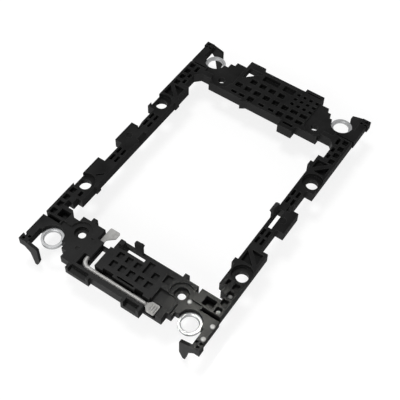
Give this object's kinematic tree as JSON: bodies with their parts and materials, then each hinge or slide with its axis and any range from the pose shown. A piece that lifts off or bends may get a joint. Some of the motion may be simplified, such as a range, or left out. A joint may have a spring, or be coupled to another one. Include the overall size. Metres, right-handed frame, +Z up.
{
  "type": "cpu socket retention frame",
  "caption": "Rectangular moulded carrier frame with rib grids, snap legs, corner rings and a wire release lever; it clips a processor package and lines it up with its socket.",
  "frame": {"origin": "under the middle of the frame, on the plane of the leg tips", "axes": "+X along the frame from the lever end to the far end, +Y across it toward the lever shaft's side, +Z up"},
  "size_m": [0.121, 0.078, 0.0198],
  "materials": {
    "frame_plastic": "satin moulded black plastic",
    "ring_metal": "plain turned metal",
    "lever_steel": "satin drawn wire"
  },
  "bodies": {
    "frame": {"carrier_frame": "frame_plastic", "ring_near_left": "ring_metal", "ring_near_right": "ring_metal", "ring_far_left": "ring_metal", "ring_far_right": "ring_metal"},
    "lever": {"lever": "lever_steel"}
  },
  "joints": [
    {"name": "lever_hinge", "type": "hinge", "parent": "frame", "child": "lever", "pos_m": [-0.0486, 0.014, 0.0115], "axis": [-1, 0, 0], "range_deg": [0, 90]}
  ]
}
